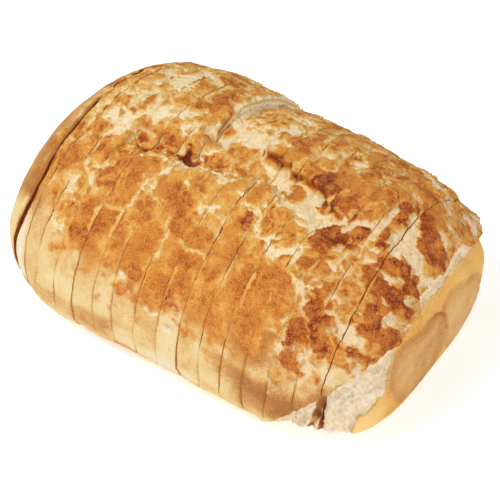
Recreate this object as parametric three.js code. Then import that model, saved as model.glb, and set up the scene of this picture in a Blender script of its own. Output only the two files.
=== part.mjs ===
// Whole sliced tin loaf with a crackled top crust, in millimetres, +Z up.
// +X runs along the loaf, -X is the rounded heel, +X the heel with the torn edge, -Y is the front side.
import * as THREE from "three";

const DEG = Math.PI / 180;

// Driving dimensions.
const END_LEFT = 116;
const END_RIGHT = 114;
const FIRST_CUT = -100;
const SLICE = 13;
const SLICES = 15;
const KERF = 0.5;
const SHOULDER = 25;
const STATIONS = [-100, -60, -22, 20, 60, 98];
const HEIGHTS = [87, 84, 86, 88, 90, 91];
const BACK_WIDTHS = [104, 103, 98, 92, 84, 74];
const FRONT_WIDTHS = [82, 88, 88, 87, 89, 83];
const BACK_POWER = 1.85;
const FRONT_POWER = 1.95;
const FOOT_POWER = 4.3;
const FOOT_FLAT = 1.2;
const ROUNDING = { left: { top: 4.6, foot: 5.4 }, right: { top: 5.1, foot: 6.2 } };

// Cuts that lean, bend or stand open, by number from the left: slope of the plane, sideways bend at
// BEND_LEVEL, gap at the crown and gap at the base.
const OPEN_CUTS = {
  0: { shift: 3, bend: 5, crown: 1.2, base: 5.4 },
  1: { shift: 1 },
  3: { shift: 1, crown: 0.9, base: 0.5 },
  6: { lean: -0.05, crown: 0.9, base: 0.5 },
  8: { shift: 1, crown: 0.8, base: 0.5 },
  11: { crown: 0.9, base: 0.6 },
  12: { crown: 0.9, base: 0.6 },
  15: { shift: -1, crown: 0.8, base: 3 },
};
const BEND_LEVEL = 62;
const BEND_SPREAD = 18;
const LEAN_LEVEL = 8;

// Where the relief fades out above the base, and where the section turns into an end face.
const FOOT_FREE = 0.75;
const FOOT_FADE = 0.5;
const FOOT_HOLD = 4;
const END_TURN = 0.35;
const BULGE_START = 0.25;

// Mesh density.
const RING = 84;
const SLICE_STEPS = 3;
const HEEL_STEPS = 10;
const PLANE_PASSES = 4;

// Relief of the top. Curves are [x, degrees round the section from the back over the crown], lengths in mm.
const STRAND_EDGE = [[-64, 116], [-57, 107], [-26, 105], [6, 104], [20, 100], [33, 101]];
const FISSURE = [[-30, 80], [-1, 86], [10, 92], [27, 96], [44, 99], [60, 105], [78, 108]];
// A dip runs behind the front strand's back edge, and a cleft splits the crust from the middle to the right.
const STRAND = { from: -66, to: 34, fade: 10, rise: 2.2, riseWidth: 15, fall: 5.2, fallWidth: 7 };
const CLEFT = { from: -31, to: 80, fade: 12, depth: 5, width: 8 };
// The torn edge under the crust of the right end, given by its height: it climbs with x up to the end face,
// and there it stands highest round y = `middle`.
const TEAR = { from: 62, fade: 10, low: 3, slope: 1, high: 66, sides: 51, lip: 2, recess: 2.6, width: 8 };
const TEAR_TOP = { middle: 3, flat: 18, fall: 20 };
const LOBES = [
  { x: -62, angle: 68, alongX: 36, around: 30, rise: 3.2 },
  { x: 22, angle: 66, alongX: 34, around: 26, rise: 2.4 },
  { x: 84, angle: 84, alongX: 24, around: 34, rise: 1.6 },
  { x: 0, angle: 140, alongX: 80, around: 30, rise: 1.2 },
];
const SPOTS = [
  { x: -25, angle: 102, radius: 6, rise: -5 },
  { x: -27, angle: 86, radius: 6, rise: -4 },
  { x: 12, angle: 166, radius: 5, rise: -1.4 },
  { x: 13, angle: 184, radius: 6, rise: 2 },
  { x: 66, angle: 92, radius: 7, rise: -2.5 },
];
// The back of the first slices stands proud, and the next ones dip near x before they rise again.
const BACK_STEP = { slices: 6, rise: 2.4, dip: -2.4, x: -20, reach: 10, angle: 54, spread: 36 };
const LUMPS = { size: 15, rise: 0.9 };
const SHUFFLE = 0.45;
const SHUFFLE_SEED = 5;

const CRUST = 0xd39449;
const PALE_CRUST = 0xe3bb78;

const clamp01 = (t) => Math.min(1, Math.max(0, t));
const smooth = (t) => clamp01(t) ** 2 * (3 - 2 * clamp01(t));
const bump = (d, width) => Math.exp(-((d / width) ** 2));
const mix = (a, b, t) => a + (b - a) * t;

function along(xs, values, x) {
  let i = 0;
  while (i < xs.length - 2 && x > xs[i + 1]) i += 1;
  return mix(values[i], values[i + 1], smooth((x - xs[i]) / (xs[i + 1] - xs[i])));
}

function curveAngle(curve, x) {
  return along(curve.map((p) => p[0]), curve.map((p) => p[1]), x);
}

function hash(i, j) {
  const s = Math.sin(i * 127.1 + j * 311.7) * 43758.5453;
  return 2 * (s - Math.floor(s)) - 1;
}

function lumps(u, v) {
  const i = Math.floor(u);
  const j = Math.floor(v);
  const fu = smooth(u - i);
  const fv = smooth(v - j);
  return mix(mix(hash(i, j), hash(i + 1, j), fu), mix(hash(i, j + 1), hash(i + 1, j + 1), fu), fv);
}

// Height of the crust over the plain loaf at x and angle, where `size` is the local radius in mm and `step`
// is how far the back stands proud, or dips where it is negative.
function relief(x, angle, size, step) {
  const around = (degrees) => (angle - degrees) * DEG * size;
  const fromEdge = around(curveAngle(STRAND_EDGE, x));
  const inStrand = smooth((x - STRAND.from) / STRAND.fade) * smooth((STRAND.to - x) / STRAND.fade);
  const ridge = STRAND.rise * bump(fromEdge - STRAND.riseWidth, STRAND.riseWidth);
  const hollow = STRAND.fall * bump(fromEdge + STRAND.fallWidth, STRAND.fallWidth);
  let d = inStrand * (ridge - hollow);
  const inCleft = smooth((x - CLEFT.from) / CLEFT.fade) * smooth((CLEFT.to - x) / CLEFT.fade);
  d -= inCleft * CLEFT.depth * bump(around(curveAngle(FISSURE, x)), CLEFT.width);
  for (const lobe of LOBES) {
    d += lobe.rise * bump(x - lobe.x, lobe.alongX) * bump(angle - lobe.angle, lobe.around);
  }
  for (const spot of SPOTS) {
    d += spot.rise * bump(Math.hypot(x - spot.x, around(spot.angle)), spot.radius);
  }
  const near = step < 0 ? bump(x - BACK_STEP.x, BACK_STEP.reach) : 1;
  d += step * near * bump(angle - BACK_STEP.angle, BACK_STEP.spread);
  return d + LUMPS.rise * lumps(x / LUMPS.size, (angle * DEG * size) / LUMPS.size);
}

function tear(x, y, z) {
  const aside = smooth((Math.abs(y - TEAR_TOP.middle) - TEAR_TOP.flat) / TEAR_TOP.fall);
  const edge = Math.min(mix(TEAR.high, TEAR.sides, aside), TEAR.low + TEAR.slope * (x - TEAR.from));
  const lip = TEAR.lip * bump(z - edge - TEAR.width, TEAR.width);
  const recess = TEAR.recess * bump(z - edge + TEAR.width, TEAR.width);
  return smooth((x - TEAR.from) / TEAR.fade) * (lip - recess);
}

// A point of the crust: k is the share of the full section left by the rounding of the ends.
function crustPoint(x, angle, k, lift, step) {
  const c = Math.cos(angle * DEG);
  const s = Math.sin(angle * DEG);
  const width = c > 0 ? along(STATIONS, BACK_WIDTHS, x) : along(STATIONS, FRONT_WIDTHS, x);
  const topPower = c > 0 ? BACK_POWER : FRONT_POWER;
  const power = s > 0 ? topPower : FOOT_POWER;
  const rise = s > 0 ? along(STATIONS, HEIGHTS, x) - SHOULDER : SHOULDER + FOOT_FLAT;
  const y = Math.sign(c) * Math.abs(c) ** (2 / power) * width;
  const z = Math.sign(s) * Math.abs(s) ** (2 / power) * rise;
  const size = Math.hypot(y, z);
  const free = smooth((s + FOOT_FREE) / FOOT_FADE);
  const torn = tear(x, y * k, SHOULDER + z * k);
  const facing = smooth((1 - k) / END_TURN);
  const grown = 1 + (free * (relief(x, angle, size, step) + lift + torn * (1 - facing))) / size;
  const drop = s > 0 ? k : mix(k, 1, smooth(FOOT_HOLD * k));
  return { y: y * grown * k, z: Math.max(0, SHOULDER + z * grown * drop), out: torn * facing };
}

function endShare(x, angle) {
  const end = x < 0 ? ROUNDING.left : ROUNDING.right;
  const power = mix(end.foot, end.top, smooth(Math.sin(angle * DEG)));
  const t = Math.min(1, x < 0 ? -x / END_LEFT : x / END_RIGHT);
  return (1 - t ** power) ** (1 / power);
}

// Face of cut i on the left (side -1) or right (side 1) of its gap, as x at height z.
function facePlane(i, side) {
  const { lean = 0, bend = 0, shift = 0, crown = KERF, base = KERF } = OPEN_CUTS[i] ?? {};
  const start = FIRST_CUT + i * SLICE + shift;
  const middle = (z) => start + lean * (z - LEAN_LEVEL) + bend * bump(z - BEND_LEVEL, BEND_SPREAD);
  return (z) => middle(z) + (side / 2) * mix(base, crown, z / HEIGHTS[0]);
}

// One ring of the crust, a share f of the way between two planes. A heel also bulges along x by `bulge`.
function ringOnPlanes(left, right, f, lift, step, bulge = 0) {
  const points = [];
  for (let i = 0; i < RING; i += 1) {
    const angle = (360 * i) / RING;
    let x = mix(left(SHOULDER), right(SHOULDER), f);
    let p = { y: 0, z: 0, out: 0 };
    for (let pass = 0; pass < PLANE_PASSES; pass += 1) {
      p = crustPoint(x, angle, endShare(x, angle), lift, step);
      x = mix(left(p.z), right(p.z), f);
    }
    points.push([x + bulge * p.out, p.y, p.z]);
  }
  return points;
}

// Rings from the cut face out to the pole of a heel; every ring point keeps its own x.
function heelRings(plane, side) {
  const rings = [];
  const end = () => (side < 0 ? -END_LEFT : END_RIGHT);
  const step = side < 0 ? BACK_STEP.rise : BACK_STEP.dip;
  for (let j = 0; j < HEEL_STEPS; j += 1) {
    const f = Math.sin((j / HEEL_STEPS) * 90 * DEG);
    rings.push(ringOnPlanes(plane, end, f, 0, step, side * smooth(f / BULGE_START)));
  }
  return rings;
}

// Skins the rings and closes both ends with a fan about a centre point.
function solid(name, rings, colour, ends) {
  const positions = [];
  const index = [];
  for (const ring of rings) {
    for (const p of ring) positions.push(...p);
  }
  for (let j = 0; j < rings.length - 1; j += 1) {
    for (let i = 0; i < RING; i += 1) {
      const a = j * RING + i;
      const b = j * RING + ((i + 1) % RING);
      index.push(a, b, a + RING, b, b + RING, a + RING);
    }
  }
  const last = (rings.length - 1) * RING;
  const first = positions.length / 3;
  positions.push(...ends[0], ...ends[1]);
  for (let i = 0; i < RING; i += 1) {
    const n = (i + 1) % RING;
    index.push(n, i, first, last + i, last + n, first + 1);
  }
  const geometry = new THREE.BufferGeometry();
  geometry.setAttribute("position", new THREE.Float32BufferAttribute(positions, 3));
  geometry.setIndex(index);
  geometry.computeVertexNormals();
  const material = new THREE.MeshStandardMaterial({ color: colour, roughness: 0.78, metalness: 0 });
  const mesh = new THREE.Mesh(geometry, material);
  mesh.name = name;
  return mesh;
}

const pole = (plane) => [plane(SHOULDER), 0, SHOULDER];

const loaf = new THREE.Group();
loaf.name = "sliced_loaf";

const leftRings = heelRings(facePlane(0, -1), -1).reverse();
loaf.add(solid("heel_left", leftRings, PALE_CRUST, [pole(() => -END_LEFT), pole(facePlane(0, -1))]));
for (let i = 0; i < SLICES; i += 1) {
  const left = facePlane(i, 1);
  const right = facePlane(i + 1, -1);
  const lift = SHUFFLE * hash(i, SHUFFLE_SEED);
  const step = i < BACK_STEP.slices ? BACK_STEP.rise : BACK_STEP.dip;
  const rings = [];
  for (let j = 0; j <= SLICE_STEPS; j += 1) rings.push(ringOnPlanes(left, right, j / SLICE_STEPS, lift, step));
  loaf.add(solid(`slice_${String(i + 2).padStart(2, "0")}`, rings, CRUST, [pole(left), pole(right)]));
}
const rightRings = heelRings(facePlane(SLICES, 1), 1);
loaf.add(solid("heel_right", rightRings, CRUST, [pole(facePlane(SLICES, 1)), pole(() => END_RIGHT)]));

export default loaf;
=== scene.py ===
"""Looks of the sliced crackle-crust loaf: every slice and heel is rebuilt with a fine, cracked crust in the
space of its CAD solid. Lengths are in mm here and become metres when a mesh is made. A place on the crust
is x along the loaf and degrees round the section, from the back (0) over the crown (90) to the front (180).
"""
import math
from types import SimpleNamespace

import bpy
import numpy as np
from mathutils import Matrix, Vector


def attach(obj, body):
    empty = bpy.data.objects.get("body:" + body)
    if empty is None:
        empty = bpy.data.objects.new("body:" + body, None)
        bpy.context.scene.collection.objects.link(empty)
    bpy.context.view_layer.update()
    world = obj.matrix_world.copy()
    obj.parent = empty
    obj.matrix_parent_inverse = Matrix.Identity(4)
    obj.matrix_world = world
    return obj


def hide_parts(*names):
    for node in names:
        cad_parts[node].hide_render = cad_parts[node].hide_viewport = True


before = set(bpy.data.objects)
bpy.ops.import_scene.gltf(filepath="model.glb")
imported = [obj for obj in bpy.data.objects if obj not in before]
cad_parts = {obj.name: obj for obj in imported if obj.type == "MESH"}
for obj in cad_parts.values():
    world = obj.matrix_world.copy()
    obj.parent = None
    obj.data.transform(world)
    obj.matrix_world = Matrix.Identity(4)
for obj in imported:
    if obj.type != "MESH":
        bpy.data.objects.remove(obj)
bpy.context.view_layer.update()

DEG = math.pi / 180
MM = 0.001
TINY = 1e-9

# The loaf's form, the same values as the CAD source.
END_LEFT = 116.0
END_RIGHT = 114.0
FIRST_CUT = -100.0
SLICE = 13.0
SLICES = 15
KERF = 0.5
SHOULDER = 25.0
STATIONS = (-100, -60, -22, 20, 60, 98)
HEIGHTS = (87, 84, 86, 88, 90, 91)
BACK_WIDTHS = (104, 103, 98, 92, 84, 74)
FRONT_WIDTHS = (82, 88, 88, 87, 89, 83)
BACK_POWER = 1.85
FRONT_POWER = 1.95
FOOT_POWER = 4.3
FOOT_FLAT = 1.2
FOOT_TIP = 0.25
ROUND_TOP = (4.6, 5.1)
ROUND_FOOT = (5.4, 6.2)
OPEN_CUTS = {
    0: dict(shift=3, bend=5, crown=1.2, base=5.4),
    1: dict(shift=1),
    3: dict(shift=1, crown=0.9, base=0.5),
    6: dict(lean=-0.05, crown=0.9, base=0.5),
    8: dict(shift=1, crown=0.8, base=0.5),
    11: dict(crown=0.9, base=0.6),
    12: dict(crown=0.9, base=0.6),
    15: dict(shift=-1, crown=0.45, base=3, knee=34),
}
BEND_LEVEL = 62
BEND_SPREAD = 18
LEAN_LEVEL = 8

# Relief of the crust that the solids have too: the front strand, the fissure, lobes, spots and the step.
STRAND_EDGE = ((-64, 116), (-57, 107), (-26, 105), (6, 104), (20, 100), (33, 101))
STRAND_FROM = -66
STRAND_TO = 34
STRAND_FADE = 10
STRAND_RISE = 2.2
STRAND_SPREAD = 15
STRAND_DIP = 5.2
DIP_SPREAD = 7
FISSURE = ((-30, 80), (-1, 86), (10, 92), (27, 96), (44, 99), (60, 105), (78, 108))
FISSURE_FROM = -31
FISSURE_TO = 80
FISSURE_FADE = 12
FISSURE_DEPTH = 5
FISSURE_SPREAD = 8
LOBES = ((-62, 68, 36, 30, 3.2), (22, 66, 34, 26, 2.4), (84, 84, 24, 34, 1.6), (0, 140, 80, 30, 1.2))
SPOTS = ((-25, 102, 6, -5), (-27, 86, 6, -4), (12, 166, 5, -1.4), (13, 184, 6, 2), (66, 92, 7, -2.5))
STEP_SLICES = 6
STEP_RISE = 2.4
STEP_DIP = -2.4
STEP_MIDDLE = -20
STEP_REACH = 10
STEP_ANGLE = 54
STEP_SPREAD = 36
LUMP = 15
LUMP_RISE = 0.9
# The foot takes no relief: the sine of the angle where the large and the fine relief start, and their fades.
FOOT_SINE = -0.75
FOOT_FADE = 0.5
FINE_FOOT_SINE = -0.86
FINE_FOOT_FADE = 0.3
SHUFFLE = 0.45
SHUFFLE_SEED = 5

# The torn crust's lip at the right end: its greatest heights in the middle and aside, and its climb in x.
LIP_FROM = 62
LIP_RAMP = 10
LIP_BASE = 3
LIP_CLIMB = 14
LIP_HIGH = 66
LIP_LOW = 51
LIP_MIDDLE = 3
LIP_HALF = 18
LIP_FADE = 20
LIP_SPREAD = 8
LIP_SWELL = 2
LIP_RECESS = 2.6
# Share of the section that is lost where the crust has turned to face the end.
END_FACING = 0.35

# The crackled crust: its borders, its calm and its redder stretches, and the sizes of its plates.
FRONT_SHIFT = 15
FRONT_FADE = 32
BACK_BORDER = 14
BACK_FADE = 16
LEFT_BORDER = -106
LEFT_FADE = 12
CALM_ANGLE = 122
CALM_FROM = -66
CALM_TO = 58
LEFT_CALM_ANGLE = 104
LEFT_CALM_TO = -82
CALM_FADE = 12
RED_FROM = 52
RED_FADE = 20
PLATE = 17
SMALL_PLATE = 7

# The torn edges in x: the end of the strand's, both ends of the fissure's, and where the strand's is deep.
STRAND_TEAR_TO = 36
CLEFT_FROM = 2
CLEFT_TO = 66
DEEP_TO = -18

# Where the crust is crisp enough to break beside a cut, in degrees, and where it breaks most, in x.
CRISP_FROM = 24
CRISP_TO = 158
BREAKS_TO = -20

# The right end face: where its shreds and its tan skin start, and its two pressed panels.
SHRED_FROM = 104
TAN_FROM = 103
NEAR_PANEL = dict(y=-18.5, z=21, half_y=28.5, half_z=21.5, lean=0.3, lean_from=20)
FAR_PANEL = dict(y=28, z=22, half_y=26, half_z=23, lean=0.45, lean_from=10)
PANEL_POWER = 3
PANEL_GAP = 0.03
OUTSIDE = -0.2

# Mesh density: ring points on the underside and round the rest, rings along a slice and a heel.
RING_UNDER = 150
RING_OVER = 570
UNDER_FROM = 196
UNDER_TO = 350
SLICE_RINGS = 23
HEEL_RINGS = (60, 100)
HEEL_POWER = 4.9
HEEL_TIP = 0.012
HEEL_BULGE = 0.25
CAP_RINGS = 3
CAP_DEEPEST = 0.3
SETTLE_ROUNDS = 4

# Cuts: width in mm of a face's rim, of a wall browned with painted shade and of the outermost edge.
RIM = 1.6
WALL = 9.0
EDGE = 0.05
# Rings beside a cut where the relief leaves x as it is, most of all at the cut.
CUT_ROWS = 6
# How far the blade wandered, and the share of a narrow gap that is left where the slices cling together.
CUT_WANDER = 0.2
CLING = 0.1
CLINGS_UNDER = 1
# How brown the rim of a cut face is, partly the crust's edge and partly painted shade of the gap: a wide
# wall of painted shade in a deep gap, the cut at the step, and any other.
WALL_SHADED = 0.78
WALL_STEP = 0.28
WALL_PLAIN = 0.6

# Looks of the crust, as strokes over (x, degrees round the section): points, half width in mm, strength.
CREAM = (
    (((-25, 36), (-25, 62), (-25, 74)), 1.8, 1.0),
    (((-24, 74), (-14, 78), (-6, 79)), 2.4, 1.0),
    (((-6, 79), (0, 79), (6, 83)), 6.0, 1.1),
    (((4, 85), (12, 89), (22, 89.5), (32, 91)), 3.0, 1.1),
    (((32, 92), (40, 94.5), (48, 97), (54, 102)), 3.4, 1.1),
    (((44, 104), (52, 102), (57, 107)), 5.2, 1.1),
    (((60, 103), (70, 102), (80, 101.5)), 2.8, 1.0),
    (((84, 82), (84, 92), (83, 101)), 2.8, 1.0),
    (((83, 102), (83, 112)), 1.6, 0.8),
    (((97, 92), (100, 100)), 3.0, 0.9),
    (((95, 103), (101, 97), (103, 103)), 3.0, 0.9),
    (((-66, 82), (-65, 92), (-67, 99), (-70, 104), (-73, 108)), 2.2, 0.9),
    (((-88, 80), (-88, 90), (-89, 98), (-88, 103)), 1.7, 0.7),
    (((-78, 66), (-76, 72), (-72, 77), (-69, 84)), 2.4, 0.7),
    (((-72, 118), (-67, 122), (-61, 124)), 1.9, 0.9),
    (((-61, 100), (-60, 108), (-60, 118)), 1.5, 0.8),
    (((-56, 103), (-50, 104), (-42, 102), (-37, 105)), 1.5, 0.8),
    (((-34.5, 114), (-33.5, 120), (-33.5, 126)), 1.8, 1.0),
    (((-24, 103), (-20, 106), (-17, 107)), 2.0, 1.0),
    (((-14, 103.5), (-8, 102), (-1, 105), (5, 107)), 1.3, 1.0),
    (((-2, 101), (5, 104), (10, 106)), 1.2, 0.8),
    (((5, 108), (4, 114), (2, 120)), 2.2, 0.9),
    (((17, 109), (23, 111), (27, 112), (31, 117), (34, 120)), 1.9, 0.9),
    (((32, 102), (31, 108), (31, 113)), 1.0, 0.7),
    (((34, 105), (40, 103), (46, 98)), 2.2, 0.9),
    (((42, 121), (46, 124), (50, 120)), 1.5, 0.9),
    (((52, 119), (57, 120), (57, 127)), 1.2, 0.8),
    (((0, 133), (6, 134), (12, 133), (17, 134)), 1.0, 0.8),
    (((-10, 127), (-7, 134), (-7, 141)), 1.2, 0.8),
    (((-20, 152), (-24, 156), (-26, 159)), 1.8, 0.8),
    (((-48, 129), (-42, 131), (-35, 130)), 1.2, 0.7),
    (((-60, 60), (-48, 64), (-38, 62)), 3.4, 0.8),
    (((-27, 64), (-26, 72)), 2.4, 0.9),
    (((25, 50), (24, 60), (27, 68)), 1.8, 0.8),
    (((42, 66), (43, 76), (44, 82)), 1.8, 0.8),
    (((30, 70), (33, 82)), 1.2, 0.6),
    (((61, 98), (58, 112)), 1.0, 0.6),
    (((68, 110), (74, 114), (80, 112)), 1.6, 0.7),
    (((60, 127), (66, 129), (72, 134), (76, 139)), 1.7, 0.9),
    (((84, 134), (90, 137), (96, 142), (100, 150)), 2.4, 0.8),
    (((103, 112), (106, 120), (107, 128)), 1.3, 0.7),
    (((66, 78), (68, 86), (66, 92)), 1.8, 0.7),
    (((78, 76), (88, 72)), 1.6, 0.7),
    (((100, 66), (101, 76)), 1.4, 0.7),
    (((-95, 154), (-93, 162), (-91, 178)), 2.6, 0.8),
)
# Deeply baked patches, and one dark mark of painted shade in a pit: points, half width in mm, strength.
DARK = (
    (((44, 88), (52, 93), (57, 98)), 4.5, 0.85),
    (((61, 95), (66, 97)), 3.8, 0.75),
    (((62, 110), (70, 107), (79, 106)), 3.6, 0.85),
    (((61, 112), (66, 114)), 3.4, 0.7),
    (((88, 84), (90, 92)), 3.6, 0.9),
    (((97, 82), (105, 88), (106, 95)), 4.4, 0.85),
    (((88, 102), (90, 106)), 2.4, 0.7),
    (((95, 112), (103, 109), (108, 114)), 3.6, 0.95),
    (((94, 118), (97, 121)), 4.0, 0.9),
    (((104, 120), (107, 124)), 3.6, 0.9),
    (((101, 128), (103, 138)), 2.6, 0.8),
    (((108, 138), (110, 146)), 2.4, 0.8),
    (((101, 148), (106, 149)), 1.8, 0.8),
    (((77, 126), (78, 136)), 3.2, 0.7),
    (((84, 138), (84, 148), (90, 150)), 3.6, 0.85),
    (((74, 143), (77, 152), (73, 158), (80, 160)), 3.4, 0.6),
    (((62, 122), (72, 122)), 3.0, 0.5),
    (((62, 134), (66, 138)), 4.0, 0.35),
    (((-24, 101), (-22, 101)), 2.2, 0.9),
    # Painted shade in the pit beside the nub.
    (((-29, 98), (-28, 101)), 1.4, 0.9),
    (((-41, 121), (-37, 123)), 4.4, 0.35),
    (((-52, 110), (-40, 112), (-35, 113)), 3.6, 0.3),
    (((4, 130), (8, 131)), 2.6, 0.4),
    (((5, 138), (16, 137)), 2.4, 0.4),
    (((14, 143), (16, 149)), 2.4, 0.4),
    (((2, 148), (5, 154)), 3.4, 0.4),
    (((-18, 136), (-14, 137)), 2.2, 0.4),
    (((-38, 62), (-40, 70), (-36, 76)), 3.6, 0.45),
    (((82, 62), (88, 68)), 5.0, 0.45),
    (((62, 54), (74, 56)), 5.5, 0.35),
    (((52, 58), (54, 66)), 4.0, 0.35),
    (((24, 83), (14, 85)), 2.6, 0.35),
    (((34, 97), (37, 99)), 2.6, 0.45),
    (((24, 104), (22, 107)), 2.2, 0.35),
    (((-68, 84), (-67, 88)), 1.6, 0.5),
    (((64, 84), (76, 86)), 6.0, 0.3),
    (((70, 92), (78, 94)), 4.0, 0.3),
    (((92, 66), (100, 76)), 5.5, 0.4),
    (((50, 82), (58, 87)), 5.0, 0.25),
    (((74, 72), (80, 80)), 4.5, 0.2),
    (((-12, 107), (-4, 111), (3, 112)), 4.6, 0.1),
    (((10, 112), (16, 115)), 4.2, 0.15),
    (((14, 105), (28, 106)), 3.6, 0.1),
    (((-20, 112), (-22, 118)), 4.0, 0.2),
    (((22, 121), (28, 126)), 4.4, 0.3),
    (((-14, 120), (-6, 121)), 4.2, 0.15),
)
# The fissure's rear edge, x and degrees, and small deep pits: x, degrees, radius, depth in mm.
REAR_EDGE = ((2, 83), (10, 86), (20, 87), (33, 90.5), (45, 93), (60, 100), (68, 101))
PITS = (
    (-26, 85, 2.2, 4),
    (-28, 99, 2.4, 4),
    (-22.5, 101, 2.8, -2.6),
    (-19, 104, 2, 2),
    (94, 82, 1.8, 2.5),
    (94, 98, 1.4, 2),
    (10, 167, 1.7, 2.2),
)
# Lower border of the cream shreds on the right end, y and height.
SHRED_LOWEST = -9
SHRED_FOOT = ((-74, SHRED_LOWEST), (-66, 19), (-53, 24), (-46, 35), (-38, 44), (-25, 50), (-12, 54),
              (18, 53), (39, 48), (60, 45))
# Hollows along a cut, darkened brown with painted shade: the cut, degrees from and to, half width, depth,
# and slope below the hollow top.
HOLLOWS = (
    (6, 68, 92, 1.2, 2.8, 0),
    (6, 90, 108, 1.6, 3.4, 0),
    (0, 80, 170, 1.2, 1.0, 0),
    (15, 166, 225, 1.7, 4.4, 0.17),
)
HOLLOW_TOP = 32
# Darker and paler stretches of the smooth sides: points, half width in mm, shift.
TONES = (
    (((-72, 183), (-25, 183)), 9, -0.35),
    (((62, 179), (82, 180)), 12, -0.35),
    (((54, 168), (96, 176)), 19, -0.5),
    (((9.5, 167), (10.5, 168)), 2.4, 0.8),
    (((-3.5, 161), (0, 163.5), (3, 162)), 1.1, 1.2),
    (((-22, 151), (-19, 156)), 1.4, 1.2),
    (((20, 150), (56, 160)), 10, -0.3),
    (((-18, 184), (20, 188)), 9, 0.7),
    (((24, 190), (46, 192)), 6, 0.3),
    (((-94, 148), (-92, 162), (-90, 184)), 4.2, 1.1),
    (((12, 146), (56, 150)), 12, -0.55),
    (((-58, 144), (-22, 150)), 9, -0.3),
    (((-114, 60), (-107, 138)), 19, -0.85),
    (((-98, 118), (-90, 146)), 9, -0.35),
    (((-104, 136), (-102, 175)), 6, 0.15),
    (((72, 194), (90, 186)), 6, 1.2),
    (((-84, 164), (-34, 170)), 13, 0.35),
    (((46, 163), (64, 166)), 7, 0.7),
)
# Lower border of the crackled crust on the front, x and degrees.
CRUST_BORDER = ((-110, 128), (-85, 142), (-66, 151), (-46, 158), (-25, 162), (0, 162), (40, 162), (70, 162),
                (100, 160))

# The studio: lights as name, place, size and power, all aimed at one point, and the camera, in metres.
LIGHTS = (("key", (-0.6, -0.6, 1.3), 0.45, 12.6), ("fill", (1.0, -0.4, 0.9), 1.0, 7))
LIGHT_AIM = (0, 0, 0.03)
WORLD_GLOW = 0.4
FLOOR_HALF = 3
FLOOR_GLOW = 0.4
CAMERA_PLACE = (0.3130, -0.4587, 0.5276)
CAMERA_AIM = (-0.00506, 0.00921, 0.01146)
CAMERA_LENS = 101.76
CAMERA_SENSOR = 36
CAMERA_NEAR = 0.05


def smooth(t):
    """From 0 to 1 with soft ends."""
    t = np.clip(t, 0, 1)
    return t * t * (3 - 2 * t)


def rise(value, start, width):
    """0 up to start, then softly up to 1 over the width."""
    return smooth((value - start) / width)


def fall(value, stop, width):
    """1, then softly down to 0 over the width that ends at stop."""
    return smooth((stop - value) / width)


def bump(d, width):
    return np.exp(-((d / width) ** 2))


def decay(d, reach):
    return np.exp(-np.abs(d) / reach)


def mix(a, b, t):
    return a + (b - a) * t


def along(xs, values, x):
    """Values at stations, with soft steps between them."""
    xs = np.asarray(xs, float)
    values = np.asarray(values, float)
    i = np.clip(np.searchsorted(xs, x, side="left") - 1, 0, len(xs) - 2)
    return mix(values[i], values[i + 1], smooth((x - xs[i]) / (xs[i + 1] - xs[i])))


def curve(points, x):
    return along([p[0] for p in points], [p[1] for p in points], x)


def hash2(i, j):
    s = np.sin(i * 127.1 + j * 311.7) * 43758.5453
    return 2 * (s - np.floor(s)) - 1


def lumps(u, v):
    """Smooth noise over a plane, the same as the CAD source's."""
    i, j = np.floor(u), np.floor(v)
    fu, fv = smooth(u - i), smooth(v - j)
    low = mix(hash2(i, j), hash2(i + 1, j), fu)
    return mix(low, mix(hash2(i, j + 1), hash2(i + 1, j + 1), fu), fv)


def hash3(i, j, k, seed):
    """Evenly spread numbers from 0 to 1, one for each cell."""
    h = (i.astype(np.int64) * 374761393 + j.astype(np.int64) * 668265263
         + k.astype(np.int64) * 2147483647 + seed * 1274126177) & 0xFFFFFFFF
    h = ((h ^ (h >> 13)) * 1274126177) & 0xFFFFFFFF
    h = ((h ^ (h >> 16)) * 2246822519) & 0xFFFFFFFF
    return ((h ^ (h >> 15)) & 0xFFFFFF) / float(0x1000000)


def noise(p, scale, seed):
    """Smooth noise from -1 to 1. The scale is in mm, and each use has a seed of its own."""
    q = p / scale
    c = np.floor(q)
    f = smooth(q - c)
    i, j, k = c[..., 0], c[..., 1], c[..., 2]
    out = 0
    for di in (0, 1):
        for dj in (0, 1):
            for dk in (0, 1):
                w = np.abs(1 - di - f[..., 0]) * np.abs(1 - dj - f[..., 1]) * np.abs(1 - dk - f[..., 2])
                out = out + w * hash3(i + di, j + dj, k + dk, seed)
    return 2 * out - 1


def fractal(p, scale, octaves, seed):
    """Noise in octaves, each about half as large and half as strong as the one before."""
    total = 0
    weight = 1.0
    for n in range(octaves):
        total = total + weight * noise(p + 17.3 * n, scale / 2.03 ** n, seed + n)
        weight *= 0.5
    return total * 1.25


def fractal3(p, scale, octaves, seeds):
    return np.stack([fractal(p, scale, octaves, seed) for seed in seeds], -1)


def cells(p, scale, seed):
    """Distance in mm to the nearest border between cells, roughly, and a number for each cell."""
    q = p / scale
    c = np.floor(q)
    first = np.full(q.shape[:-1], 9.0)
    second = first.copy()
    own = first * 0
    for di in (-1, 0, 1):
        for dj in (-1, 0, 1):
            for dk in (-1, 0, 1):
                i, j, k = c[..., 0] + di, c[..., 1] + dj, c[..., 2] + dk
                d = np.sqrt((i + hash3(i, j, k, seed) - q[..., 0]) ** 2
                            + (j + hash3(i, j, k, seed + 1) - q[..., 1]) ** 2
                            + (k + hash3(i, j, k, seed + 2) - q[..., 2]) ** 2)
                nearer = d < first
                second = np.where(nearer, first, np.minimum(second, d))
                own = np.where(nearer, hash3(i, j, k, seed + 3), own)
                first = np.where(nearer, d, first)
    return (second - first) * scale / 2, own


def tear_edge(x, y):
    """Height of the torn crust's lip at the right end."""
    aside = rise(np.abs(y - LIP_MIDDLE), LIP_HALF, LIP_FADE)
    return np.minimum(mix(LIP_HIGH, LIP_LOW, aside), LIP_BASE + (x - LIP_FROM) + LIP_CLIMB * (1 - aside))


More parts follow.
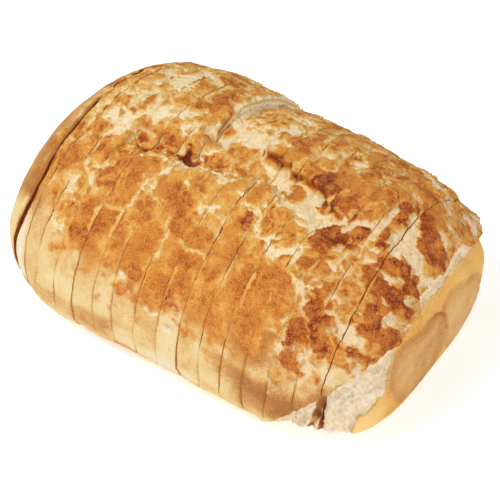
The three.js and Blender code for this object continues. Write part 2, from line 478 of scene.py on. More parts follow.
def relief(x, a, size, step):
    """The large relief of the crust, in mm."""
    def around(degrees):
        return (a - degrees) * DEG * size
    off = around(curve(STRAND_EDGE, x))
    strand = rise(x, STRAND_FROM, STRAND_FADE) * fall(x, STRAND_TO, STRAND_FADE)
    ridge = STRAND_RISE * bump(off - STRAND_SPREAD, STRAND_SPREAD)
    d = strand * (ridge - STRAND_DIP * bump(off + DIP_SPREAD, DIP_SPREAD))
    open_part = rise(x, FISSURE_FROM, FISSURE_FADE) * fall(x, FISSURE_TO, FISSURE_FADE)
    d = d - open_part * FISSURE_DEPTH * bump(around(curve(FISSURE, x)), FISSURE_SPREAD)
    for lx, la, sx, sa, high in LOBES:
        d = d + high * bump(x - lx, sx) * bump(a - la, sa)
    for sx, sa, radius, high in SPOTS:
        d = d + high * bump(np.hypot(x - sx, around(sa)), radius)
    near = bump(x - STEP_MIDDLE, STEP_REACH) if step < 0 else 1
    d = d + step * near * bump(a - STEP_ANGLE, STEP_SPREAD)
    return d + LUMP_RISE * lumps(x / LUMP, a * DEG * size / LUMP)


def end_share(x, a):
    """Share of the full section that is left near the rounded ends."""
    side = np.where(x < 0, 0, 1)
    top, foot = np.asarray(ROUND_TOP)[side], np.asarray(ROUND_FOOT)[side]
    t = np.where(x < 0, -x / END_LEFT, x / END_RIGHT).clip(0, 1)
    p = mix(foot, top, smooth(np.sin(a * DEG)))
    return np.maximum(1 - t ** p, 0) ** (1 / p)


def crust_point(x, a, lift, step):
    """y and z of the crust, how far the torn end stands out along x, and the local radius."""
    c, s = np.cos(a * DEG), np.sin(a * DEG)
    k = end_share(x, a)
    width = np.where(c > 0, along(STATIONS, BACK_WIDTHS, x), along(STATIONS, FRONT_WIDTHS, x))
    power = np.where(s > 0, np.where(c > 0, BACK_POWER, FRONT_POWER), FOOT_POWER)
    reach = np.where(s > 0, along(STATIONS, HEIGHTS, x) - SHOULDER, SHOULDER + FOOT_FLAT)
    y = np.sign(c) * np.abs(c) ** (2 / power) * width
    z = np.sign(s) * np.abs(s) ** (2 / power) * reach
    size = np.hypot(y, z)
    over_foot = rise(s, FOOT_SINE, FOOT_FADE)
    above = SHOULDER + z * k - tear_edge(x, y * k)
    swell = LIP_SWELL * bump(above - LIP_SPREAD, LIP_SPREAD)
    torn = rise(x, LIP_FROM, LIP_RAMP) * (swell - LIP_RECESS * bump(above + LIP_SPREAD, LIP_SPREAD))
    facing = smooth((1 - k) / END_FACING)
    grown = 1 + over_foot * (relief(x, a, size, step) + lift + torn * (1 - facing)) / size
    drop = np.where(s > 0, k, mix(k, 1, smooth(k / FOOT_TIP)))
    return y * grown * k, np.maximum(0, SHOULDER + z * grown * drop), torn * facing, size


def face_plane(i, side):
    """A face of cut i, as a function that gives x for y and z: side -1 is the left face, 1 the right one."""
    cut = OPEN_CUTS.get(i, {})
    start = FIRST_CUT + i * SLICE + cut.get("shift", 0)
    crown, base = cut.get("crown", KERF), cut.get("base", KERF)
    clings = max(crown, base) < CLINGS_UNDER

    def plane(y, z):
        spot = np.stack([0 * z + start, y + 0 * z, z], -1)
        bend = cut.get("bend", 0) * bump(z - BEND_LEVEL, BEND_SPREAD)
        middle = start + cut.get("lean", 0) * (z - LEAN_LEVEL) + bend
        middle = middle + CUT_WANDER * noise(spot, 3.1, 201)
        gap = mix(base, crown, smooth(z / cut["knee"]) if "knee" in cut else z / HEIGHTS[0])
        if clings:
            gap = gap * mix(CLING, 1, smooth(0.1 + 1.2 * noise(spot, 15, 203)))
        return middle + side / 2 * gap
    plane.cut = i
    return plane


def ring_angles():
    over = np.linspace(UNDER_TO - 360, UNDER_FROM, RING_OVER, endpoint=False)
    under = np.linspace(UNDER_FROM, UNDER_TO, RING_UNDER, endpoint=False)
    return np.concatenate([over, under])


ANGLES = ring_angles()


def base_grid(left, right, shares, lift, step, bulge):
    """Rings of the plain crust between two planes: x, angle, points and local radius."""
    f = np.asarray(shares)[:, None] + 0 * ANGLES[None, :]
    a = ANGLES[None, :] + 0 * f
    x = mix(left(0 * f, SHOULDER + 0 * f), right(0 * f, SHOULDER + 0 * f), f)
    for _ in range(SETTLE_ROUNDS):
        y, z, out, size = crust_point(x, a, lift, step)
        x = mix(left(y, z), right(y, z), f)
    return x, a, np.stack([x + bulge[:, None] * out, y, z], -1), size


def stroke(x, a, size, points):
    """Distance in mm to a line drawn over x and angle."""
    best = np.full(x.shape, 1e3)
    for (x0, a0), (x1, a1) in zip(points[:-1], points[1:]):
        px, pa = x - x0, (a - a0) * DEG * size
        dx, da = x1 - x0, (a1 - a0) * DEG * size
        t = np.clip((px * dx + pa * da) / (dx * dx + da * da + TINY), 0, 1)
        best = np.minimum(best, np.hypot(px - t * dx, pa - t * da))
    return best


def calm_share(x, a, ragged):
    """The smooth, evenly baked stretches on the front of the middle and left slices."""
    front = smooth((a - CALM_ANGLE - 4 * ragged[..., 0]) / CALM_FADE)
    middle = front * (1 - rise(x, CALM_TO, 10)) * rise(x, CALM_FROM, CALM_FADE)
    left = rise(a, LEFT_CALM_ANGLE, 14) * (1 - rise(x, LEFT_CALM_TO, CALM_FADE))
    return np.maximum(middle, 0.7 * left)


def broken_crust(p, warped, calm, right):
    """Browning of the cracked crust, 0 the palest and 1 the darkest, its wide cracks and all its cracks."""
    gap, own = cells(warped, PLATE, 51)
    small_gap, small_own = cells(warped + 40, SMALL_PLATE, 61)
    open_up = smooth(0.5 + 0.75 * fractal(p, 24, 2, 71))
    wide_crack = 1 - smooth((gap - 0.15) / (0.35 + 1.5 * open_up ** 2 + 0.8 * right))
    fine_crack = 1 - smooth((small_gap - 0.05) / (0.4 + 0.8 * open_up + 0.4 * right))
    cracks = np.maximum(wide_crack, 0.6 * fine_crack)

    # The levels are evenly spread by mottling, browner middles of the plates and a shade for each plate.
    raw = 0.62 * fractal(warped, 9, 3, 81) + 0.32 * fractal(warped, 3.4, 2, 91) + 0.12 * noise(p, 1.25, 97)
    raw = raw + 0.6 * (smooth(gap / 4.5) - 0.5) + 0.3 * (smooth(small_gap / 2.2) - 0.5)
    raw = raw + 0.4 * (own - 0.5) + 0.3 * (small_own - 0.5)
    raw = 1.15 * raw + 0.22 + 0.22 * right
    raw = mix(raw, 0.5 + 0.35 * raw + 0.18 * fractal(p, 13, 2, 94), 0.85 * calm)
    bake = 0.5 + 0.34 * np.tanh(1.4 * raw)

    # A browner rim of painted shade beside a wide crack, and the pale cracks themselves.
    bake = bake + 0.14 * bump(gap - 0.9 - 2.0 * open_up ** 2, 0.6) * smooth(noise(p, 6, 98) + 0.2)
    cracked = (1 - 0.8 * calm) * (0.35 + 0.65 * np.maximum(open_up, right))
    return np.maximum(0.02, bake - 0.5 * cracked * cracks), wide_crack, cracks


def drawn_patches(bake, x, a, p, size, warped, ragged, fray):
    """The browning with the cream stretches and the deeply baked patches laid over it."""
    wx = x + 1.5 * ragged[..., 0] + 0.6 * fray[..., 0]
    wa = a + (1.5 * ragged[..., 1] + 0.6 * fray[..., 1]) / (DEG * size)
    wander = 0.72 + 0.5 * noise(p, 5, 43)
    cream = 0.02 + 0.12 * np.abs(fractal(p, 2.2, 2, 45)) + 0.04 * fray[..., 2]
    for points, half, strength in CREAM:
        inside = half * wander + 0.9 - stroke(wx, wa, size, points)
        bake = mix(bake, cream, np.minimum(1, strength * smooth(inside / 1.2)))
    deep = 0.9 + 0.12 * fractal(warped, 4, 2, 46) + 0.08 * fray[..., 0]
    broken = fractal(p, 3.4, 3, 48)
    for points, half, strength in DARK:
        inside = half * (wander + 0.25) + 1.0 + 1.2 * broken - stroke(wx, wa, size, points)
        shade = np.maximum(bake, mix(0.62, deep, strength))
        bake = mix(bake, shade, smooth(inside / 0.9) * min(1, strength + 0.4))
    return bake


def baked_and_shaded_creases(bake, look, x, p):
    """Browning with dark creases, part baked and part painted shade, at both torn edges; the pale crumbs'
    mask.
    """
    strand, off = look.strand, look.strand_off
    here = smooth(0.8 + noise(p, 7, 106))
    behind = strand * bump(off - 1.9, 1.3) * smooth(0.25 + 1.3 * noise(p, 4.5, 107))
    bake = mix(bake, 0.06, 0.9 * behind)
    # Painted shade, with some baked brown: dark creases just behind the strand's torn edge and at the
    # fissure's rear edge.
    width = mix(1.4, 2.6, fall(x, DEEP_TO - 4, 8))
    crease = mix(0.35, 1, fall(x, DEEP_TO, 8)) * bump(off + 2.0, width)
    bake = mix(bake, 0.97, here * strand * crease)
    bake = mix(bake, 0.96, 0.95 * here * look.cleft * bump(look.rear_off - 0.4, 1.5))
    # Painted shade: a darker recess behind the strand's torn edge.
    bake = bake + 0.16 * (1 - look.right) * strand * bump(off + 6, 4.5) * smooth(bake * 3)
    crumbs = strand * bump(off - 1.6, 2.4) * rise(noise(p, 1.7, 108), 0.3, 0.2)
    return mix(bake, 0.0, crumbs), crumbs


def side_tone(x, a, p, size, warped):
    """How much paler or darker than usual the smooth sides are."""
    tone = 0.3 * fractal(p, 20, 2, 171) + 0.16 * fractal(warped, 7, 3, 174) + 0.07 * noise(p, 1.5, 178)
    for points, half, strength in TONES:
        tone = tone + strength * smooth(1.3 - stroke(x, a, size, points) / half)
    return tone


def looks(x, a, p, size):
    """The fields that the crust's relief and colours follow, over the plain crust points p."""
    ragged = fractal3(p, 7, 3, (11, 21, 31))
    fray = fractal3(p, 1.9, 2, (41, 44, 47))
    warped = p + 2.4 * ragged + 0.5 * fray
    look = SimpleNamespace(ragged=ragged, right=rise(x, RED_FROM, RED_FADE))

    # The crackled crust covers the top, down to a border on the front, on the back and at the left end.
    border = curve(CRUST_BORDER, x) + FRONT_SHIFT + 9 * ragged[..., 2] + 3 * fray[..., 2]
    front = fall(a, border, FRONT_FADE)
    back = smooth((a - BACK_BORDER - 6 * ragged[..., 2]) / BACK_FADE)
    look.top = front * back * smooth((x - LEFT_BORDER + 4 * ragged[..., 0]) / LEFT_FADE)

    # Both torn edges along the crown: mm from the edge, and where along the loaf it runs.
    beyond_strand = (a - curve(STRAND_EDGE, x)) * DEG * size
    look.strand_off = beyond_strand + 1.5 * ragged[..., 0] + 0.5 * noise(p, 2.2, 104)
    look.strand = rise(x, STRAND_FROM, STRAND_FADE) * fall(x, STRAND_TEAR_TO, 8)
    beyond_rear = (a - curve(REAR_EDGE, x)) * DEG * size
    look.rear_off = beyond_rear + 1.3 * ragged[..., 1] + 0.5 * noise(p, 2.2, 105)
    look.cleft = rise(x, CLEFT_FROM, 8) * fall(x, CLEFT_TO, 5)

    bake, look.crack, cracks = broken_crust(p, warped, calm_share(x, a, ragged), look.right)
    bake = mix(bake, 0.52 + 0.3 * (bake - 0.5), (1 - rise(front, 0.25, 0.55)) * (1 - look.right))
    bake = drawn_patches(bake, x, a, p, size, warped, ragged, fray)
    bake = np.maximum(0.04, bake - 0.22 * look.right * (cracks * smooth(0.5 + noise(p, 5, 49))))
    look.bake, look.crumbs = baked_and_shaded_creases(bake, look, x, p)
    look.tone = side_tone(x, a, p, size, warped)
    return look


def push_directions(p, closed):
    """Which way the relief moves each point: along the crust's normal, but not along x next to a cut."""
    ahead = np.roll(p, -1, 1) - np.roll(p, 1, 1)
    normal = np.cross(ahead, np.gradient(p, axis=0))
    normal /= np.linalg.norm(normal, axis=-1, keepdims=True) + TINY
    outward = (p - [0, 0, SHOULDER]) * [0, 1, 1]
    if np.median((normal * outward).sum(-1)) < 0:
        normal = -normal
    flat = normal.copy()
    flat[..., 0] = 0
    flat /= np.linalg.norm(flat, axis=-1, keepdims=True) + TINY
    row = np.arange(len(p))
    near_cut = np.zeros(len(p))
    if closed[0]:
        near_cut = np.maximum(near_cut, 1 - smooth(row / CUT_ROWS))
    if closed[1]:
        near_cut = np.maximum(near_cut, 1 - smooth(row[::-1] / CUT_ROWS))
    return mix(normal, flat, near_cut[:, None, None])


def cut_edges(look, x, a, p, lift, planes, closed):
    """Next to a cut the blade has rounded the crust off, and torn it away in places. This sets the browning
    and tone there, with a thin line of painted shade beside the cut on the sides, and gives how much is
    rounded off in mm and the mask of the hollows, which are darkened brown with painted shade.
    """
    upper = rise(a, CRISP_FROM, 16) * fall(a, CRISP_TO, 30)
    rounded = 0
    hollow_shade = 0 * x
    for end, plane in enumerate(planes):
        if not closed[end]:
            continue
        level = plane(p[..., 1], p[..., 2])
        off = np.abs(p[..., 0] - level)
        spot = np.stack([0 * off + 40 * end + np.round(level / SLICE) * 7, p[..., 1], p[..., 2]], -1)
        torn_off = 2.8 * fractal(spot, 11, 2, 211) - 0.5 + 1.0 * noise(spot, 2.4, 215)
        torn_off = torn_off + 1.3 * fall(x, BREAKS_TO, 8) * fall(a, 102, 16) * rise(a, 40, 20)
        cream = 0.10 + 0.1 * noise(p, 1.6, 216)
        look.bake = mix(look.bake, cream, 0.8 * upper * rise(torn_off, off, 0.8))
        # Painted shade: a thin dark line beside the cut, strongest low on the sides, for the gap.
        gap_shade_line = (1 - 0.7 * upper) * bump(off, 0.6) * smooth(0.6 + noise(spot, 6, 217))
        look.tone = look.tone + 0.25 * lift - 0.5 * gap_shade_line
        rounded = rounded + (0.28 + 0.2 * noise(spot, 8, 218)) * bump(off, 0.8)
        for cut, start, stop, half, depth, slope in HOLLOWS:
            if plane.cut == cut:
                middle = level - slope * np.maximum(0, HOLLOW_TOP - p[..., 2])
                here = rise(a, start, 16) * fall(a, stop, 16) * (1 + 0.4 * noise(spot, 4, 219))
                here = here * bump(p[..., 0] - middle, half * (0.3 + 0.7 * here))
                rounded = rounded + depth * here
                # The mask of the hollow's painted shade.
                hollow_shade = np.maximum(hollow_shade, 0.85 * smooth(1.5 * here))
    return rounded, hollow_shade


def torn_end(look, x, p, hollow_shade):
    """The torn band under the lip at the right end, and the tan face below the band's shreds."""
    ragged = look.ragged
    edge = tear_edge(x, p[..., 1]) + 1.2 * ragged[..., 0] + 0.8 * noise(p, 2.2, 101)
    look.on_end = rise(x, LIP_FROM, 6)
    look.below = edge - p[..., 2]
    foot = mix(SHRED_LOWEST, curve(SHRED_FOOT, p[..., 1]), rise(x, SHRED_FROM, 3))
    over = p[..., 2] - foot + 1.4 * ragged[..., 1] + 0.7 * noise(p, 2.6, 103)
    look.torn = look.on_end * smooth(look.below / 0.8) * smooth(over / 1.4) * (1 - hollow_shade)
    look.tan = rise(x, TAN_FROM, 4) * smooth(-over / 1.4) * (1 - hollow_shade)
    look.top = look.top * (1 - smooth(look.below / 1.2) * look.on_end) * (1 - hollow_shade)
    # Painted shade: the hollows are darkened to a dark brown.
    look.tone = look.tone - 1.4 * hollow_shade


def torn_step(past, off, high, high_reach, low, low_reach):
    """A sharp step at a torn edge: high past it and low before it, both fading away from it."""
    return past * high * decay(off, high_reach) - (1 - past) * low * decay(off, low_reach)


def crease_relief(look, x, a, size):
    """The strand's torn back edge, the fissure's overhanging rear edge, the arched creases and the pits."""
    past_strand = smooth((look.strand_off + 0.7) / 1.4)
    before_rear = 1 - smooth((look.rear_off + 0.7) / 1.4)
    d = look.strand * torn_step(past_strand, look.strand_off, 2.8, 10, 4.2, 3.6)
    d = d + look.cleft * torn_step(before_rear, look.rear_off, 2.2, 7, 3.6, 3.4)
    d = d + bump(a - 60, 22) * (1.0 * bump(x + 9, 8) - 2.2 * bump(x + 21.5, 2.6))
    arch = np.hypot(x - 19, (a - 103) * DEG * size)
    d = d + 0.45 * np.sin(arch * 1.9 + look.ragged[..., 2]) * bump(arch - 9, 5) * fall(a, 106, 3)
    for px, pa, radius, depth in PITS:
        d = d - depth * bump(np.hypot(x - px, (a - pa) * DEG * size) + 0.8 * look.ragged[..., 0], radius)
    return d


def plate_relief(look, p):
    """Fine relief: plates with raised edges over a rough, paler floor, and the fibres of the torn band."""
    top, torn = look.top, look.torn
    plate = smooth((look.bake - 0.14) / 0.22)
    crumb = fractal(p, 2.2, 3, 121)
    sunk = 0.7 * (p[..., 2] - p[..., 0])
    slant = 0.7 * (p[..., 2] + p[..., 0])
    fibres = noise(np.stack([sunk, slant * 0.13, p[..., 1] * 0.4], -1), 1.9, 111)
    d = top * (0.9 * (plate - 0.5) + 0.3 * plate * fractal(p, 5, 3, 131) - 0.5 * look.crack * (1 - plate))
    raised_edge = 0.2 * bump(look.bake - 0.36, 0.12)
    d = d + top * (raised_edge + (1 - plate) * 0.28 * crumb + 1.1 * look.right * fractal(p, 6.5, 2, 133))
    d = d + 0.09 * fractal(p, 2.6, 3, 141) + 0.3 * (1 - top) * fractal(p, 12, 2, 151)
    d = d + torn * (-1.5 + 0.8 * crumb + 1.6 * fibres - 0.8 * bump(look.below - 1.5, 1.6))
    return d + look.on_end * (1 - torn) * 1.1 * bump(look.below + 1.6, 2.2)


def superellipse(u, v):
    """1 in the middle, 0 on the outline of a rounded square of half width 1, and below 0 outside."""
    return 1 - (np.abs(u) ** PANEL_POWER + np.abs(v) ** PANEL_POWER) ** (1 / PANEL_POWER)


def panel_shapes(y, z):
    """The two rounded panels that the tin left on the right end face, above 0 inside. The near one leans in
    y and covers the far one, which leans in z.
    """
    n, f = NEAR_PANEL, FAR_PANEL
    near_y = y + n["lean"] * (z - n["lean_from"])
    far_z = z + f["lean"] * (y - f["lean_from"])
    near = superellipse((near_y - n["y"]) / n["half_y"], (z - n["z"]) / n["half_z"])
    far = superellipse((y - f["y"]) / f["half_y"], (far_z - f["z"]) / f["half_z"])
    return near, np.where(near > -PANEL_GAP, OUTSIDE, far)


def end_face(look, p):
    """Relief, outlines and tone of the two pressed panels."""
    y = p[..., 1]
    near, far = panel_shapes(y + 0.6 * look.ragged[..., 0], p[..., 2] + 0.6 * look.ragged[..., 1])
    between = smooth((y + 14) / 12)
    look.panel = look.tan * np.maximum(smooth(near * 9), smooth(far * 9))
    arcs = np.maximum(mix(0.15, 1, between) * bump(near + 0.01, 0.045), 0.6 * bump(far + 0.01, 0.09))
    arcs = np.maximum(arcs, 0.2 * bump(near - 0.06, 0.08)) * rise(p[..., 2], 8, 12)
    look.arcs = look.tan * arcs * (0.8 + 0.4 * noise(p, 6, 112))
    middles = 0.5 * smooth(np.maximum(near, far) / 0.5)
    look.tone = look.tone + look.tan * (middles - 0.2 + 0.9 * fall(y, -44, 14))
    rims = mix(0.3, 1.3, between) * bump(near, 0.035)
    return look.tan * (0.6 * smooth(near * 12) - rims - 0.4 * bump(far, 0.06))


def build(name, left, right, shares, lift, step, bulge, closed, dark):
    """A slice or heel as a mesh. `closed` says which ends are cut faces, and the last argument which of
    these get a wide wall browned with painted shade, for a deep gap.
    """
    x, a, p, size = base_grid(left, right, shares, lift, step, bulge)
    look = looks(x, a, p, size)
    rounded, hollow_shade = cut_edges(look, x, a, p, lift, (left, right), closed)
    torn_end(look, x, p, hollow_shade)
    d = plate_relief(look, p) + crease_relief(look, x, a, size) - rounded + 0.7 * look.crumbs
    d = d + end_face(look, p)
    over_foot = rise(np.sin(a * DEG), FINE_FOOT_SINE, FINE_FOOT_FADE)
    p = p + push_directions(p, closed) * (d * over_foot)[..., None]
    p[..., 2] = np.maximum(p[..., 2], 0)
    for row, plane, cut in ((0, left, closed[0]), (-1, right, closed[1])):
        if cut:
            p[row, :, 0] = plane(p[row, :, 1], p[row, :, 2])
    names = ("bake", "top", "torn", "tan", "panel", "arcs", "tone")
    fields = {name: getattr(look, name) for name in names}
    fields["redness"] = look.right
    return mesh_object(name, p, closed, dark, (left, right), fields)


def wall_brown(dark, cut):
    """How brown the rim of a cut face is, partly the crust's edge and partly painted shade of the gap."""
    if dark:
        return WALL_SHADED
    return WALL_STEP if cut == STEP_SLICES else WALL_PLAIN


def mesh_object(name, p, closed, dark, planes, fields):
    """Skins the grid. A cut face gets rings in towards a centre, the outer two in the crust's material."""
    rows, ring = p.shape[:2]
    verts = [p.reshape(-1, 3)]
    values = {k: [v.reshape(-1)] for k, v in fields.items()}
    crust_faces, crumb_faces = [], []
    i = np.arange(ring)
    n = (i + 1) % ring
    for j in range(rows - 1):
        b, t = j * ring, (j + 1) * ring
        crust_faces.append(np.stack([b + i, b + n, t + n, t + i], -1))
    count = rows * ring
    for end, plane in enumerate(planes):
        row = 0 if end == 0 else rows - 1
        centre = np.array([float(plane(np.zeros(1), np.full(1, SHOULDER))[0]), 0, SHOULDER])
        before = row * ring
        rim = p[row]
        if closed[end]:
            radius = np.linalg.norm(rim - centre, axis=-1, keepdims=True)
            depths = (EDGE, WALL if dark[end] else RIM)
            insets = [np.minimum(depth / radius, CAP_DEEPEST) for depth in depths]
            insets = insets + [c / CAP_RINGS for c in range(1, CAP_RINGS)]
            # The rim's brown is partly the crust's edge and partly painted shade of the gap.
            brown = wall_brown(dark[end], plane.cut)
            for c, inset in enumerate(insets):
                on_rim = c < len(depths)
                inner = mix(rim, centre, inset)
                inner[:, 0] = plane(inner[:, 1], inner[:, 2])
                verts.append(inner)
                for k in values:
                    values[k].append(np.full(ring, brown if on_rim and k in ("bake", "top") else 0.0))
                order = [before + i, before + n, count + n, count + i]
                (crust_faces if on_rim else crumb_faces).append(np.stack(order if end else order[::-1], -1))
                before = count
                count += ring
        verts.append(centre[None, :])
        for k in values:
            values[k].append(np.zeros(1) if closed[end] else fields[k][row].mean(keepdims=True))
        order = [before + i, before + n, count + 0 * i]
        (crumb_faces if closed[end] else crust_faces).append(np.stack(order if end else order[::-1], -1))
        count += 1
    mesh = mesh_from(name, np.concatenate(verts), crust_faces + crumb_faces, len(crust_faces))
    sharpen(mesh, [row * ring for row, cut in ((0, closed[0]), (rows - 1, closed[1])) if cut], ring)
    for k, parts in values.items():
        attribute = mesh.attributes.new(k, "FLOAT", "POINT")
        attribute.data.foreach_set("value", np.concatenate(parts).astype(np.float32))
    piece = bpy.data.objects.new(name, mesh)
    bpy.context.scene.collection.objects.link(piece)
    return piece


def mesh_from(name, verts, groups, first_groups):
    """A mesh of groups of faces. The first groups take the first material and the others the second."""
    loops = np.concatenate([group.ravel() for group in groups])
    sizes = np.concatenate([np.full(len(group), group.shape[1]) for group in groups])
    second = [g >= first_groups for g in range(len(groups))]
    materials = np.concatenate([np.full(len(group), int(late)) for group, late in zip(groups, second)])
    mesh = bpy.data.meshes.new(name)
    mesh.vertices.add(len(verts))
    mesh.vertices.foreach_set("co", (verts * MM).astype(np.float32).ravel())
    mesh.loops.add(len(loops))
    mesh.loops.foreach_set("vertex_index", loops.astype(np.int32))
    mesh.polygons.add(len(sizes))
    starts = np.concatenate([[0], np.cumsum(sizes)[:-1]])
    mesh.polygons.foreach_set("loop_start", starts.astype(np.int32))
    mesh.polygons.foreach_set("material_index", materials.astype(np.int32))
    mesh.update(calc_edges=True)
    mesh.validate()
    return mesh


def sharpen(mesh, starts, ring):
    """Marks the edges of the rings that start at these vertices as sharp."""
    pairs = np.zeros(len(mesh.edges) * 2, np.int32)
    mesh.edges.foreach_get("vertices", pairs)
    pairs = pairs.reshape(-1, 2)
    sharp = np.zeros(len(pairs), bool)
    for start in starts:
        sharp |= ((pairs >= start) & (pairs < start + ring)).all(1)
    attribute = mesh.attributes.new("sharp_edge", "BOOLEAN", "EDGE")
    attribute.data.foreach_set("value", sharp)


def srgb(r, g, b):
    def one(v):
        v = v / 255
        return v / 12.92 if v <= 0.04045 else ((v + 0.055) / 1.055) ** 2.4
    return (one(r), one(g), one(b), 1.0)


class Nodes:
    """Short names for making a material's nodes."""

    def __init__(self, name):
        self.material = bpy.data.materials.new(name)
        self.material.use_nodes = True
        self.tree = self.material.node_tree
        self.shader = self.tree.nodes["Principled BSDF"]

    def node(self, kind, **settings):
        made = self.tree.nodes.new(kind)
        for key, value in settings.items():
            setattr(made, key, value)
        return made

    def link(self, source, target):
        self.tree.links.new(source, target)

    def put(self, socket, value):
        if isinstance(value, bpy.types.NodeSocket):
            self.link(value, socket)
        else:
            socket.default_value = value

    def attribute(self, name):
        return self.node("ShaderNodeAttribute", attribute_name=name).outputs["Fac"]

    def place(self):
        return self.node("ShaderNodeTexCoord").outputs["Object"]

    def noise(self, scale, detail=3.0, rough=0.55, distort=0.0):
        made = self.node("ShaderNodeTexNoise")
        made.inputs["Scale"].default_value = scale
        made.inputs["Detail"].default_value = detail
        made.inputs["Roughness"].default_value = rough
        made.inputs["Distortion"].default_value = distort
        self.link(self.place(), made.inputs["Vector"])
        return made.outputs["Fac"]

    def math(self, operation, a, b):
        made = self.node("ShaderNodeMath", operation=operation)
        self.put(made.inputs[0], a)
        self.put(made.inputs[1], b)
        return made.outputs[0]

    def add(self, first, *others):
        for other in others:
            first = self.math("ADD", first, other)
        return first

    def times(self, a, b):
        return self.math("MULTIPLY", a, b)

    def step(self, value, low, high):
        made = self.node("ShaderNodeMapRange", interpolation_type="SMOOTHSTEP")
        made.inputs["From Min"].default_value = low
        made.inputs["From Max"].default_value = high
        self.link(value, made.inputs["Value"])
        return made.outputs["Result"]

    def spread(self, value, amount):
        """Noise from 0 to 1 as a shift round 0."""
        return self.times(self.math("SUBTRACT", value, 0.5), amount)

    def ramp(self, value, stops):
        made = self.node("ShaderNodeValToRGB")
        elements = made.color_ramp.elements
        for element, (position, colour) in zip(elements, (stops[0], stops[-1])):
            element.position = position
            element.color = srgb(*colour)
        for position, colour in stops[1:-1]:
            elements.new(position).color = srgb(*colour)
        self.link(value, made.inputs["Fac"])
        return made.outputs["Color"]

    def mix(self, factor, a, b, blend="MIX"):
        made = self.node("ShaderNodeMix", data_type="RGBA", blend_type=blend)
        a_colour, b_colour = [socket for socket in made.inputs if socket.type == "RGBA"]
        self.put(made.inputs["Factor"], factor)
        self.put(a_colour, a)
        self.put(b_colour, b)
        return next(socket for socket in made.outputs if socket.type == "RGBA")

    def finish(self, colour, height, roughness, shine):
        """Puts the colour, the bump of this height and the surface on the shader."""
        made = self.node("ShaderNodeBump")
        made.inputs["Strength"].default_value = 0.7
        made.inputs["Distance"].default_value = 0.0008
        self.link(height, made.inputs["Height"])
        self.link(made.outputs["Normal"], self.shader.inputs["Normal"])
        self.link(colour, self.shader.inputs["Base Color"])
        self.shader.inputs["Roughness"].default_value = roughness
        self.shader.inputs["Specular IOR Level"].default_value = shine
        return self.material


def crust_material():
    m = Nodes("crackled_crust")
    fine = m.noise(900, 4, 0.65)
    grain = m.noise(1900, 2, 0.6)
    mottle = m.noise(260, 4, 0.6, 0.4)
    wide = m.noise(45, 3, 0.5)
    specks = m.times(m.step(m.noise(2300, 2, 0.6), 0.61, 0.71), 0.45)

    # The crackled plates and the floor between them, redder towards the right end.
    dark = m.add(m.attribute("bake"), m.spread(fine, 0.4), m.spread(grain, 0.9), m.spread(mottle, 0.18))
    plates = m.ramp(dark, (
        (0.00, (243, 228, 196)),
        (0.12, (233, 205, 148)),
        (0.26, (227, 180, 97)),
        (0.42, (220, 158, 71)),
        (0.58, (210, 138, 56)),
        (0.74, (196, 115, 43)),
        (0.86, (166, 80, 30)),
        (1.00, (112, 42, 17)),
    ))
    redder = m.mix(1.0, plates, srgb(232, 206, 194), "MULTIPLY")
    plates = m.mix(m.times(m.attribute("redness"), 0.35), plates, redder)

    # The smooth sides, and the golden border and the pressed panels of the end face.
    patchy = m.add(m.spread(wide, 0.5), m.spread(mottle, 0.35), m.spread(fine, 0.6), m.spread(grain, 1.8))
    even = m.add(m.times(patchy, 0.45), 0.5)
    side = m.ramp(m.add(even, m.times(m.attribute("tone"), 0.5)), (
        (0.00, (168, 108, 54)),
        (0.25, (204, 147, 80)),
        (0.50, (227, 194, 131)),
        (0.72, (230, 208, 158)),
        (1.00, (231, 217, 190)),
    ))
    end_shade = m.add(even, m.times(m.attribute("tone"), 0.3))
    border = m.ramp(end_shade, ((0.2, (208, 142, 62)), (0.5, (233, 183, 99)), (0.8, (240, 205, 138))))
    pressed = m.ramp(end_shade, ((0.2, (166, 102, 48)), (0.5, (210, 156, 90)), (0.8, (226, 188, 128))))
    tan = m.mix(m.attribute("panel"), border, pressed)
    tan = m.mix(m.times(m.attribute("arcs"), 0.8), tan, srgb(160, 80, 30))

    # The cream shreds of the torn band.
    torn = m.ramp(m.add(m.spread(m.noise(500, 5, 0.7), 1.2), 0.5), (
        (0.15, (202, 164, 118)),
        (0.50, (239, 219, 185)),
        (0.85, (252, 244, 226)),
    ))

    border_noise = m.add(m.spread(mottle, 0.5), m.spread(fine, 0.4))
    on_top = m.step(m.add(m.attribute("top"), border_noise), 0.15, 0.8)
    on_torn = m.step(m.add(m.attribute("torn"), border_noise), 0.35, 0.65)
    colour = m.mix(on_top, side, plates)
    colour = m.mix(m.attribute("tan"), colour, tan)
    colour = m.mix(specks, colour, srgb(246, 232, 204))
    colour = m.mix(on_torn, colour, torn)
    return m.finish(colour, m.add(m.times(fine, 0.9), mottle), roughness=0.8, shine=0.12)


def crumb_material():
    m = Nodes("crumb")
    holes = m.node("ShaderNodeTexVoronoi", feature="SMOOTH_F1")
    holes.inputs["Scale"].default_value = 420
    m.link(m.place(), holes.inputs["Vector"])
    pores = m.step(m.add(holes.outputs["Distance"], m.spread(m.noise(160, 3), 0.5)), 0.15, 0.5)
    tint = m.ramp(m.noise(120, 4, 0.6), ((0.3, (238, 218, 180)), (0.7, (250, 238, 212))))
    # The pores are darkened: painted shade in the holes of the crumb.
    colour = m.mix(pores, m.mix(0.45, tint, srgb(176, 138, 92)), tint)
    return m.finish(colour, pores, roughness=0.9, shine=0.15)


CRUST = crust_material()
CRUMB = crumb_material()


def finish_piece(piece, node):
    piece.data.materials.append(CRUST)
    piece.data.materials.append(CRUMB)
    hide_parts(node)
    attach(piece, "root")


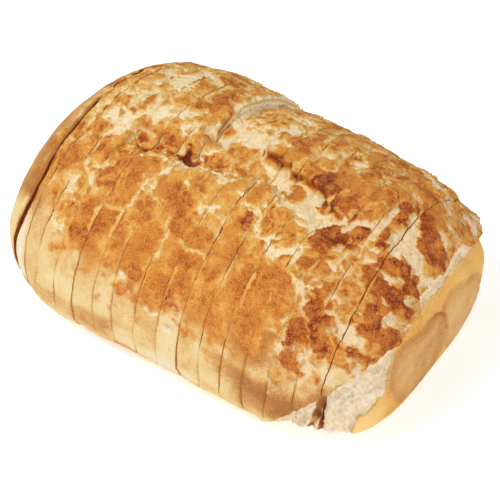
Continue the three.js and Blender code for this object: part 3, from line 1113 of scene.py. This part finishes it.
def heel_shares(cut, end, rings):
    """Shares of the way from the cut to the end, with the rings evenly spaced over the end face."""
    start = (1 - (cut / end) ** HEEL_POWER) ** (1 / HEEL_POWER)
    k = np.linspace(start, HEEL_TIP, rings)
    x = end * (1 - k ** HEEL_POWER) ** (1 / HEEL_POWER)
    return (x - x[0]) / (end - x[0])


def left_heel():
    turn = heel_shares(-FIRST_CUT, END_LEFT, HEEL_RINGS[0])[::-1]
    heel = build("left_heel", lambda y, z: -END_LEFT + 0 * z, face_plane(0, -1), 1 - turn, 0, STEP_RISE,
                 -smooth(turn / HEEL_BULGE), (False, True), (False, True))
    finish_piece(heel, "heel_left")


def slices():
    """The first and the last slice have a wide wall browned with painted shade on their outer side."""
    for i in range(SLICES):
        lift = SHUFFLE * float(hash2(i, SHUFFLE_SEED))
        step = STEP_RISE if i < STEP_SLICES else STEP_DIP
        piece = build(f"crusted_slice_{i + 2:02d}", face_plane(i, 1), face_plane(i + 1, -1),
                      np.linspace(0, 1, SLICE_RINGS), lift, step, np.zeros(SLICE_RINGS), (True, True),
                      (i == 0, i == SLICES - 1))
        finish_piece(piece, f"slice_{i + 2:02d}")


def right_heel():
    turn = heel_shares(FIRST_CUT + SLICES * SLICE, END_RIGHT, HEEL_RINGS[1])
    heel = build("right_heel", face_plane(SLICES, 1), lambda y, z: END_RIGHT + 0 * z, turn, 0, STEP_DIP,
                 smooth(turn / HEEL_BULGE), (True, False), (True, False))
    finish_piece(heel, "heel_right")


def soft_floor():
    h = FLOOR_HALF
    mesh = bpy.data.meshes.new("floor")
    mesh.from_pydata([(-h, -h, 0), (h, -h, 0), (h, h, 0), (-h, h, 0)], [], [(0, 1, 2, 3)])
    floor = bpy.data.objects.new("floor", mesh)
    bpy.context.scene.collection.objects.link(floor)
    m = Nodes("floor_white")
    m.shader.inputs["Base Color"].default_value = (0.93, 0.93, 0.93, 1)
    m.shader.inputs["Roughness"].default_value = 0.9
    m.shader.inputs["Specular IOR Level"].default_value = 0.1
    m.shader.inputs["Emission Color"].default_value = (1, 1, 1, 1)
    m.shader.inputs["Emission Strength"].default_value = FLOOR_GLOW
    mesh.materials.append(m.material)


def aimed(obj, place, aim):
    """Puts a lamp or camera at a place, looking at another."""
    obj.location = place
    obj.rotation_euler = (Vector(aim) - Vector(place)).to_track_quat("-Z", "Y").to_euler()
    bpy.context.scene.collection.objects.link(obj)


def lights():
    for name, place, size, power in LIGHTS:
        data = bpy.data.lights.new(name, "AREA")
        data.size = size
        data.energy = power
        aimed(bpy.data.objects.new(name, data), place, LIGHT_AIM)
    world = bpy.data.worlds.new("studio")
    world.use_nodes = True
    background = world.node_tree.nodes["Background"]
    background.inputs["Color"].default_value = (1, 1, 1, 1)
    background.inputs["Strength"].default_value = WORLD_GLOW
    bpy.context.scene.world = world


def camera():
    data = bpy.data.cameras.new("camera")
    data.lens = CAMERA_LENS
    data.sensor_width = CAMERA_SENSOR
    data.clip_start = CAMERA_NEAR
    shot = bpy.data.objects.new("camera", data)
    aimed(shot, CAMERA_PLACE, CAMERA_AIM)
    bpy.context.scene.camera = shot
    bpy.context.scene.view_settings.view_transform = "Standard"


left_heel()
slices()
right_heel()
soft_floor()
lights()
camera()
